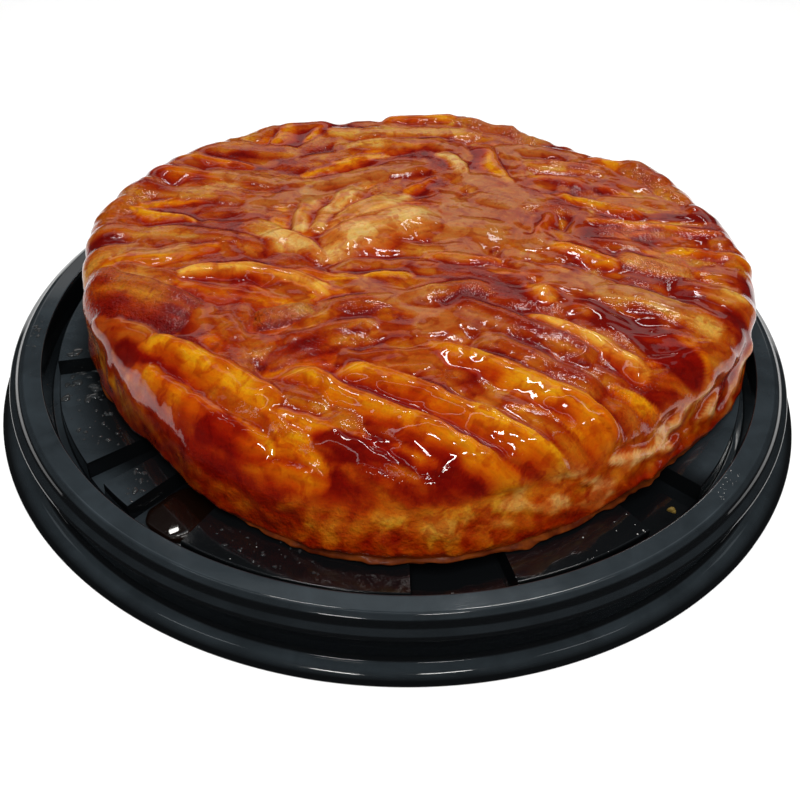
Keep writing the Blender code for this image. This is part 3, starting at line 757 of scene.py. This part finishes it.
def square_to_disc(cells):
    """Radius and angle in a disc for each point of a square grid with that many cells."""
    line = np.linspace(-1.0, 1.0, cells + 1)
    a, b = np.meshgrid(line, line, indexing="ij")
    wide = np.abs(a) >= np.abs(b)
    with np.errstate(divide="ignore", invalid="ignore"):
        angle = np.where(wide, np.pi / 4 * b / a, np.pi / 2 - np.pi / 4 * a / b)
    radius = np.where(wide, a, b)
    angle = np.where(radius == 0, 0.0, angle)
    return np.abs(radius), np.where(radius < 0, angle + np.pi, angle)


# ---------------------------------------------------------------- materials


class Graph:
    """A material's nodes, added one after another."""

    def __init__(self, name):
        self.material = bpy.data.materials.new(name)
        self.material.use_nodes = True
        self.tree = self.material.node_tree
        self.shader = self.tree.nodes["Principled BSDF"]

    def add(self, kind, inputs=(), **settings):
        node = self.tree.nodes.new(kind)
        for key, value in settings.items():
            setattr(node, key, value)
        for key, value in dict(inputs).items():
            self.feed(node.inputs[key], value)
        return node

    def feed(self, socket, value):
        if isinstance(value, bpy.types.NodeSocket):
            self.tree.links.new(value, socket)
        else:
            socket.default_value = value

    def shade(self, **values):
        for key, value in values.items():
            self.feed(self.shader.inputs[key.replace("_", " ")], value)

    def attribute(self, name, output="Fac"):
        return self.add("ShaderNodeAttribute", attribute_name=name).outputs[output]

    def place(self):
        return self.add("ShaderNodeTexCoord").outputs["Object"]

    def noise(self, vector, scale, detail=3.0, roughness=0.5, distortion=0.0):
        inputs = {"Vector": vector, "Scale": scale, "Detail": detail, "Roughness": roughness,
                  "Distortion": distortion}
        return self.add("ShaderNodeTexNoise", inputs).outputs["Fac"]

    def math(self, operation, a, b):
        return self.add("ShaderNodeMath", {0: a, 1: b}, operation=operation).outputs[0]

    def spread(self, value, low, high, to_low, to_high):
        inputs = {"Value": value, "From Min": low, "From Max": high, "To Min": to_low, "To Max": to_high}
        return self.add("ShaderNodeMapRange", inputs).outputs["Result"]

    def mix(self, factor, a, b, blend="MIX"):
        node = self.add("ShaderNodeMix", data_type="RGBA", blend_type=blend)
        self.feed(node.inputs[0], factor)
        self.feed(node.inputs[6], a)
        self.feed(node.inputs[7], b)
        return node.outputs[2]

    def bump(self, height, strength, distance, normal=None):
        inputs = {"Height": height, "Strength": strength, "Distance": distance}
        node = self.add("ShaderNodeBump", inputs)
        if normal is not None:
            self.feed(node.inputs["Normal"], normal)
        return node.outputs["Normal"]


CARAMEL_STAIN = (0.74, 0.42, 0.28, 1.0)
DARK_CRUST = (0.085, 0.014, 0.002, 1.0)
GOLD_CRUST = (0.17, 0.034, 0.003, 1.0)
BURNT_CRUST = (0.06, 0.007, 0.001, 1.0)
CLEAN_PLASTIC = (0.003, 0.0035, 0.004, 1.0)
# The pale bluish colour of a painted reflection on the tray, with real whitish smears among it
SHEEN_AND_SMEAR_PLASTIC = (0.024, 0.031, 0.036, 1.0)


def glazed_apple():
    g = Graph("glazed_apple")
    tone = g.attribute("tone", "Color")
    grain = g.attribute("grain")
    fibre_place = g.attribute("fibre", "Vector")
    place = g.place()
    fibres = g.noise(fibre_place, 1.0, 3.0, 0.5)
    blots = g.noise(place, 170.0, 3.0, 0.55, 0.8)
    mottle = g.noise(place, 480.0, 3.0, 0.6)
    specks = g.noise(place, 760.0, 2.0, 0.55)
    by_fibres = g.spread(fibres, 0.3, 0.7, 0.86, 1.12)
    by_mottle = g.spread(mottle, 0.3, 0.7, 0.86, 1.14)
    by_specks = g.spread(specks, 0.35, 0.65, 0.88, 1.18)
    by_specks = g.add("ShaderNodeMix", {0: grain, 2: 1.0, 3: by_specks}).outputs[0]
    shade = g.math("MULTIPLY", g.math("MULTIPLY", by_fibres, by_mottle), by_specks)
    in_blots = g.spread(blots, 0.50, 0.62, 0.0, 0.85)
    in_mottle = g.spread(mottle, 0.50, 0.64, 0.0, 0.6)
    stained = g.mix(in_blots, tone, CARAMEL_STAIN, "MULTIPLY")
    stained = g.mix(in_mottle, stained, CARAMEL_STAIN, "MULTIPLY")
    colour = g.add("ShaderNodeVectorMath", {0: stained, 3: shade}, operation="SCALE").outputs[0]
    fine = g.bump(mottle, 0.30, 0.0005)
    rough = g.bump(specks, grain, 0.0016, fine)
    g.shade(
        Base_Color=colour, Roughness=0.6, Normal=rough, Specular_IOR_Level=0.02,
        Subsurface_Weight=0.12, Subsurface_Radius=(1.0, 0.32, 0.08), Subsurface_Scale=0.003,
        Coat_Weight=1.0, Coat_Roughness=0.03, Coat_IOR=1.45,
    )
    wet = g.spread(g.noise(place, 60.0, 2.0, 0.5), 0.50, 0.66, 0.0, 0.9)
    wet = g.math("MULTIPLY", wet, g.attribute("rippled"))
    ripples = g.bump(g.noise(place, 230.0, 1.0, 0.5), wet, 0.0005)
    g.shade(Coat_Normal=g.bump(specks, grain, 0.0004, ripples))
    return g.material


def baked_pastry():
    g = Graph("baked_pastry")
    place = g.place()
    layers = g.add("ShaderNodeMapping", {"Vector": place, "Scale": (140.0, 140.0, 220.0)}).outputs[0]
    flakes = g.noise(layers, 1.0, 4.0, 0.6, 0.4)
    blotches = g.noise(place, 130.0, 4.0, 0.6)
    baked = g.mix(g.spread(flakes, 0.35, 0.65, 0.0, 1.0), DARK_CRUST, GOLD_CRUST)
    colour = g.mix(g.spread(blotches, 0.42, 0.62, 0.0, 1.0), baked, BURNT_CRUST)
    g.shade(
        Base_Color=colour, Roughness=0.55, Normal=g.bump(flakes, 0.6, 0.0006), Specular_IOR_Level=0.2,
        Coat_Weight=0.25, Coat_Roughness=0.2,
    )
    return g.material


def black_plastic():
    g = Graph("black_plastic")
    place = g.place()
    haze_and_sheen = g.noise(place, 55.0, 4.0, 0.6, 0.6)
    scuffs = g.noise(place, 900.0, 2.0, 0.6)
    rough = g.math("ADD", g.spread(haze_and_sheen, 0.35, 0.75, 0.04, 0.09), g.spread(scuffs, 0.4, 0.7, 0.0, 0.02))
    normal = g.add("ShaderNodeNewGeometry").outputs["Normal"]
    up = g.add("ShaderNodeSeparateXYZ", {0: normal}).outputs["Z"]
    # The film is a painted reflection: a pale bluish colour on the faces that look up, standing in for
    # the bright studio that they mirror, with real whitish smears among it on the left pads.
    film = g.math("MULTIPLY", g.spread(up, 0.80, 0.98, 0.0, 1.0), g.spread(haze_and_sheen, 0.30, 0.65, 0.55, 1.0))
    film = g.math("MULTIPLY", film, g.attribute("painted_sheen_and_smear"))
    colour = g.mix(film, CLEAN_PLASTIC, SHEEN_AND_SMEAR_PLASTIC)
    g.shade(Base_Color=colour, Roughness=rough, Specular_IOR_Level=0.5)
    return g.material


def plain(name, colour, roughness, **more):
    g = Graph(name)
    g.shade(Base_Color=(*colour, 1.0), Roughness=roughness, **more)
    return g.material


# ---------------------------------------------------------------- the pieces


MAP_REACH = 150.0  # about how far the skin goes out on the map
SKIN_LIFT = 0.2  # how far all of the skin stands out
EDGE_TUCK = 0.7  # how far in the edge of the skin lies
FIBRE_LENGTH = 14.0
FIBRE_WIDTH = 1.6


def make_apples():
    surface, stained, grain, apples = make_fields()
    radius, angle = square_to_disc(SKIN_CELLS)
    out = radius * WRAP.reach(angle)
    x = TART_CENTRE[0] + out * np.cos(angle)
    y = TART_CENTRE[1] + out * np.sin(angle)
    lift = sample(surface, x, y)
    inside = smoothstep(0.0, 2.0, (1 - radius) * MAP_REACH)
    lift = (lift + SKIN_LIFT) * inside - EDGE_TUCK * (1 - inside)
    points = WRAP.place(radius, angle, lift)
    tone = sample(stained, x, y).reshape(-1, 3)
    thing = make_object("caramelised_apples", points, grid_faces(*radius.shape), glazed_apple())
    set_attribute(thing, "tone", np.column_stack([tone, np.ones(len(tone))]))
    set_attribute(thing, "grain", sample(grain, x, y).ravel())
    set_attribute(thing, "rippled", sample(1 - 0.85 * ON_SIDE, x, y).ravel())
    along = sample(apples.along, x, y).ravel() / FIBRE_LENGTH
    across = sample(apples.across, x, y).ravel() / FIBRE_WIDTH
    set_attribute(thing, "fibre", np.column_stack([along, across, np.zeros(len(along))]))
    slices = [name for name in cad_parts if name.startswith("slice_")]
    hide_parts("apple_layer", *slices)
    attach(thing, "root")


PASTRY_COLUMNS = 720
PASTRY_RINGS = 22
PASTRY_OVERLAP = 1.4  # how far the pastry goes on behind the skin, above the seam


def make_pastry():
    angle = np.arange(PASTRY_COLUMNS) * math.tau / PASTRY_COLUMNS
    foot, rim, _ = outline(angle)
    seam_radius = foot + 0.1 * (rim - foot) + 0.4
    scallop = lattice_noise(angle * 5.0, 0.0, 63) - 0.5
    low = TART_LOW.z / MM
    rings = [(foot - 8.0, low)]
    for part in np.linspace(0.0, 1.0, PASTRY_RINGS):
        height = low + (SEAM_HEIGHT + PASTRY_OVERLAP - low) * part
        bulge = 1.8 * scallop * (1 - part) - 1.2 * (1 - part) ** 4 - 3.4 * max(0.0, part - 0.3) / 0.7
        wave = lattice_noise(angle * 14.0, part * 2.2, 61) - 0.5
        flake = lattice_noise(angle * 40.0, part * 3.0, 62) - 0.5
        radius = foot + (seam_radius - foot) * part + bulge + 2.2 * wave * (1 - 0.6 * part) + 1.1 * flake
        rings.append((radius, height))
    rings.append((seam_radius - 6.0, SEAM_HEIGHT + 1.2))
    points = np.array([polar_points(radius, angle, height, TART_CENTRE) for radius, height in rings])
    faces = grid_faces(len(rings), PASTRY_COLUMNS, closed=True)[:, ::-1]
    thing = make_object("pastry_crust", points, faces, baked_pastry())
    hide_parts("pastry_base")
    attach(thing, "root")


def rounded(corners, radius, steps=3):
    """The outline through corners, each rounded off as far as its legs allow."""
    corners = [np.array(corner, dtype=float) for corner in corners]
    made = [corners[0]]
    for before, here, after in zip(corners, corners[1:], corners[2:]):
        back, on = before - here, after - here
        reach = min(radius, 0.45 * np.hypot(*back), 0.45 * np.hypot(*on))
        start = here + back / np.hypot(*back) * reach
        end = here + on / np.hypot(*on) * reach
        if np.hypot(*back) > 2.2 * radius:
            made.append(start + back / np.hypot(*back) * 0.3 * radius)
        for part in np.linspace(0.0, 1.0, steps + 1):
            made.append((1 - part) ** 2 * start + 2 * part * (1 - part) * here + part ** 2 * end)
        if np.hypot(*on) > 2.2 * radius:
            made.append(end + on / np.hypot(*on) * 0.3 * radius)
    made.append(corners[-1])
    return np.array(made)


def tray_columns():
    """The directions of the tray's mesh, closer together at the sides of the troughs."""
    angles = list(np.arange(0.0, 360.0, 1.0))
    for middle, span in TROUGHS:
        for edge in (middle - span / 2, middle + span / 2):
            angles += [(edge + step) % 360 for step in TROUGH_EDGE_STEPS]
    angles = np.unique(np.round(angles, 3))
    keep = np.append(True, np.diff(angles) > 0.08)
    return np.radians(angles[keep])


def make_tray():
    profile = rounded(TRAY_PROFILE, 0.5)
    radii = np.unique(np.round(np.concatenate([
        [0.0], np.linspace(12.0, 130.0, 24), TROUGH_START + np.array([-0.5, -0.2, 0.2, 0.5]),
    ]), 3))
    radius = np.concatenate([radii, profile[1:, 0]])
    height = np.concatenate([np.full(len(radii), PAD_HEIGHT), profile[1:, 1]])
    angle = tray_columns()
    r, a = radius[:, None], angle[None, :]
    z = np.repeat(height[:, None], len(angle), axis=1)
    for middle, span in TROUGHS:
        off = (a - math.radians(middle) + math.pi) % math.tau - math.pi
        inward = (math.radians(span / 2) - np.abs(off)) * r
        depth = smoothstep(-0.35, 0.35, inward) * smoothstep(-0.5, 0.5, r - TROUGH_START)
        z = np.where(r < TROUGH_END, fade(z, np.minimum(z, TROUGH_FLOOR), depth), z)
    faces = grid_faces(len(radius), len(angle), closed=True)
    thing = make_object("cake_tray", polar_points(r, a, z), faces, black_plastic())
    weld(thing)
    at = np.empty(len(thing.data.vertices) * 3)
    thing.data.vertices.foreach_get("co", at)
    x, y, _ = at.reshape(-1, 3).T / MM
    far = np.hypot(x, y)
    # Painted reflection, with real whitish smears among it: a pale film on the ends of the pads at the
    # left and right and on all beyond the pads. It fades out on the pads near the tart, which mirror
    # the tart's dark underside there.
    pad_ends_sheen_smear = np.maximum(smoothstep(60.0, 90.0, -x), smoothstep(85.0, 105.0, x))
    pad_ends_sheen_smear = pad_ends_sheen_smear * smoothstep(118.0, 131.0, far)
    pad_ends_sheen_smear = pad_ends_sheen_smear * np.maximum(smoothstep(0.0, 20.0, -x), smoothstep(-86.0, -74.0, y))
    set_attribute(thing, "painted_sheen_and_smear", np.maximum(pad_ends_sheen_smear, smoothstep(PAD_RADIUS, PAD_RADIUS + 4.0, far)))
    thing.data.set_sharp_from_angle(angle=math.radians(50.0))
    sheet = thing.modifiers.new("sheet", "SOLIDIFY")
    sheet.thickness = SHEET * MM
    sheet.offset = -1.0
    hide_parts("tray")
    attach(thing, "root")


DOME_SIDES = 14
# From the foot up: shares of a dome's radius and of its height
DOME_RINGS = ((0.92, -0.12), (1.0, 0.05), (0.9, 0.45), (0.68, 0.80), (0.36, 0.97), (0.12, 1.0))


def make_domes(name, spots, material, seed):
    """Small domes with uneven outlines, one for each spot: x, y, z of its foot, radius and height."""
    luck = np.random.default_rng(seed)
    around = np.arange(DOME_SIDES) * math.tau / DOME_SIDES
    points, faces = [], []
    for x, y, z, radius, height in spots:
        uneven = 1 + 0.25 * np.cos(around + luck.uniform(0, 6))
        uneven = uneven + 0.15 * np.cos(3 * around + luck.uniform(0, 6))
        stretch = luck.uniform(0.7, 1.4)
        first = len(points)
        for share, lift in DOME_RINGS:
            ring_x = x + radius * share * stretch * uneven * np.cos(around)
            ring_y = y + radius * share / stretch * uneven * np.sin(around)
            points += list(np.column_stack([ring_x, ring_y, np.full(DOME_SIDES, z + height * lift)]))
        sides = grid_faces(len(DOME_RINGS), DOME_SIDES, closed=True)[:, ::-1]
        faces += (sides + first).tolist()
        under, top = len(points), len(points) + 1
        last_ring = under - DOME_SIDES
        points.append(np.array((x, y, z + height * DOME_RINGS[0][1])))
        points.append(np.array((x, y, z + height)))
        for step in range(DOME_SIDES):
            after = (step + 1) % DOME_SIDES
            faces.append([first + step, under, first + after])
            faces.append([last_ring + after, top, last_ring + step])
    thing = make_object(name, np.array(points), faces, material)
    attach(thing, "root")


def polar(radius, degrees):
    turn = math.radians(degrees)
    return radius * math.cos(turn), radius * math.sin(turn)


def tray_level(radius, degrees):
    """The height of the tray's top side on the pads, in a trough, in the channel or on the ring."""
    if radius > RING_START:
        return RIM_HEIGHT
    for middle, span in TROUGHS:
        off = (degrees - middle + 180) % 360 - 180
        if abs(off) < span / 2 + 0.3 and radius < TROUGH_END:
            return TROUGH_FLOOR
    return PAD_HEIGHT if radius < PAD_RADIUS else CHANNEL_FLOOR


# Stretches of the tray with drops of water: how many there are, radii, directions in degrees and
# sizes from and to, and the height of a drop as a share of its size
WATER = (
    (60, (117, 131), (-169, -154), (0.4, 2.2), 0.25),
    (26, (117, 131), (-153, -142), (0.3, 1.1), 0.35),
    (14, (120, 131), (-136, -130), (0.3, 1.4), 0.35),
    (30, (120, 131), (-119, -100), (0.25, 0.8), 0.4),
    (12, (139, 143), (-175, -168), (0.4, 1.2), 0.35),
)
# The same for crumbs of sugar
SUGAR = (
    (7, (123, 131), (-64, -46), (0.09, 0.24), 0.8),
    (26, (138, 143), (-44, -37), (0.06, 0.16), 0.8),
    (9, (131.5, 132.5), (-64, -50), (0.10, 0.26), 0.8),
    (6, (124, 132), (-112, -70), (0.08, 0.18), 0.8),
)


def scatter(luck, stretches):
    """Spots for make_domes over stretches of the tray."""
    spots = []
    for count, radii, directions, sizes, share in stretches:
        for _ in range(count):
            radius, degrees = luck.uniform(*radii), luck.uniform(*directions)
            size = max(luck.uniform(*sizes) ** 2 / sizes[1], sizes[0])
            x, y = polar(radius, degrees)
            spots.append((x, y, tray_level(radius, degrees), size, share * size))
    return spots


def make_spills():
    luck = np.random.default_rng(71)
    water = plain("syrup_water", (0.020, 0.022, 0.023), 0.08, Coat_Weight=1.0, Coat_Roughness=0.02)
    make_domes("water_drops", scatter(luck, WATER), water, 72)
    white = plain("sugar", (0.50, 0.50, 0.48), 0.5)
    make_domes("sugar_crumbs", scatter(luck, SUGAR), white, 73)
    yellow = plain("crumb", (0.13, 0.085, 0.018), 0.5)
    x, y = polar(131.8, -47.6)
    crumb = [(x, y, PAD_HEIGHT, 1.2, 1.2), (x + 0.9, y - 0.6, PAD_HEIGHT, 0.8, 0.7)]
    make_domes("pastry_crumb", crumb, yellow, 74)


PUDDLE_RADIUS = 121.5  # of the middle of the puddle
PUDDLE_HALF = 10.5  # half its length along the trough
PUDDLE_HEIGHT = 1.6


def make_puddle():
    """Syrup that lies in one of the troughs."""
    middle, span = HALF_TROUGHS[2]
    along, across = np.meshgrid(np.linspace(-1, 1, 41), np.linspace(-1, 1, 25), indexing="ij")
    edge = np.sqrt(np.clip(1 - np.abs(along) ** 3, 0.0, 1.0))
    wobble = 0.06 * (lattice_noise(along * 4.0, 0.0, 75) - 0.5)
    radius = PUDDLE_RADIUS + PUDDLE_HALF * along
    half = np.radians(span / 2 - 0.35) * (0.35 + 0.65 * edge + wobble)
    angle = math.radians(middle) + across * half
    rise = PUDDLE_HEIGHT * (1 - np.abs(across) ** 12) * np.clip(edge * 3.2, 0, 1)
    top = polar_points(radius, angle, TROUGH_FLOOR + 0.1 + rise)
    under = polar_points(radius, angle, TROUGH_FLOOR - 0.1)
    count = along.size
    faces = grid_faces(*along.shape)
    grid = np.arange(count).reshape(along.shape)
    border = np.concatenate([grid[0, :-1], grid[:-1, -1], grid[-1, :0:-1], grid[:0:-1, 0]])
    after = np.roll(border, -1)
    sides = np.stack([border, after, after + count, border + count], axis=-1)
    faces = np.concatenate([faces, faces[:, ::-1] + count, sides])
    syrup = plain("syrup", (0.004, 0.0015, 0.0008), 0.3, Coat_Weight=1.0, Coat_Roughness=0.02,
                  Specular_IOR_Level=0.1)
    thing = make_object("syrup_puddle", np.stack([top, under]), faces, syrup)
    form = bmesh.new()
    form.from_mesh(thing.data)
    bmesh.ops.recalc_face_normals(form, faces=form.faces)
    form.to_mesh(thing.data)
    form.free()
    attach(thing, "root")


# ---------------------------------------------------------------- floor, lights and camera

# Small lamps: azimuth from the right round by the back, elevation and power
LAMPS = (
    (-110, 64, 0.75),
    (-60, 74, 0.625),
    (70, 62, 0.625),
    (112, 67, 0.5),
    (58, 60, 0.375),
    (67, 42, 0.25),
)
LAMP_DISTANCE = 1.2
LAMP_SIZE = (0.16, 0.03)
WARM_WHITE = (1.0, 0.98, 0.95)
STUDIO_GLOW = 0.03

FLOOR_SPLIT = 100.0  # the near part of the floor starts this far before the middle of the tray
CAMERA_TARGET = Vector((0.00064, -0.03166, 0.0))
CAMERA_DISTANCE = 0.3417
CAMERA_ELEVATION = math.radians(41.22)
CAMERA_ROLL = math.radians(1.66)
CAMERA_LENS = 39.6


def make_camera():
    data = bpy.data.cameras.new("camera")
    data.lens = CAMERA_LENS
    data.sensor_width = 36.0
    data.clip_start = 0.01
    camera = bpy.data.objects.new("camera", data)
    back = Vector((0.0, -math.cos(CAMERA_ELEVATION), math.sin(CAMERA_ELEVATION)))
    turn = Matrix.Rotation(math.pi / 2 - CAMERA_ELEVATION, 4, "X") @ Matrix.Rotation(CAMERA_ROLL, 4, "Z")
    camera.matrix_world = Matrix.Translation(CAMERA_TARGET + back * CAMERA_DISTANCE) @ turn
    bpy.context.scene.collection.objects.link(camera)
    bpy.context.scene.camera = camera


def make_floor():
    """A pale floor; its near part lies in the dark of the studio for all that mirrors it."""
    size = 3.0 / MM
    pale = plain("floor", (0.95, 0.95, 0.95), 0.8)
    for name, near, far in (("near_floor", -size, -FLOOR_SPLIT), ("far_floor", -FLOOR_SPLIT, size)):
        points = np.array([(-size, near, 0), (size, near, 0), (size, far, 0), (-size, far, 0)])
        floor = make_object(name, points, np.array([[0, 1, 2, 3]]), pale)
        floor.visible_glossy = name == "far_floor"


def make_light(name, azimuth, elevation, distance, width, height, power, colour=(1.0, 1.0, 1.0)):
    """A soft panel that faces the tart, at an azimuth from the right round by the back."""
    data = bpy.data.lights.new(name, "AREA")
    data.shape = "RECTANGLE"
    data.size = width
    data.size_y = height
    data.energy = power
    data.color = colour
    light = bpy.data.objects.new(name, data)
    turn, tip = math.radians(azimuth), math.radians(elevation)
    out = Vector((math.cos(turn) * math.cos(tip), math.sin(turn) * math.cos(tip), math.sin(tip)))
    light.location = out * distance
    light.rotation_mode = "QUATERNION"
    light.rotation_quaternion = out.to_track_quat("Z", "Y")
    bpy.context.scene.collection.objects.link(light)
    return light


def make_lights():
    world = bpy.data.worlds.new("studio")
    world.use_nodes = True
    glow = world.node_tree.nodes["Background"].inputs
    glow["Color"].default_value = (0.92, 0.96, 1.0, 1.0)
    glow["Strength"].default_value = STUDIO_GLOW
    bpy.context.scene.world = world
    make_light("back_panel", 90, 28, 1.7, 2.4, 0.45, 2.1, (1.0, 0.94, 0.90))
    make_light("ring_strip", 90, 60.5, 1.7, 2.4, 0.20, 0.9, (0.82, 0.93, 1.0))
    make_light("top_strip", 90, 86, 1.4, 1.6, 0.04, 0.7, (0.92, 0.97, 1.0))
    for number, (azimuth, elevation, power) in enumerate(LAMPS):
        make_light(f"lamp_{number}", azimuth, elevation, LAMP_DISTANCE, *LAMP_SIZE, power, WARM_WHITE)
    make_light("spot_lamp", 118.7, 50.9, 1.26, 0.016, 0.016, 0.024, WARM_WHITE)
    for name, azimuth, elevation, power in (("softbox", -80, 62, 19.4), ("back_softbox", 100, 65, 7.6)):
        make_light(name, azimuth, elevation, 1.4, 1.0, 1.0, power).visible_glossy = False
    bpy.context.scene.view_settings.view_transform = "Standard"


def main():
    make_camera()
    make_floor()
    make_lights()
    make_apples()
    make_pastry()
    make_tray()
    make_puddle()
    make_spills()


main()
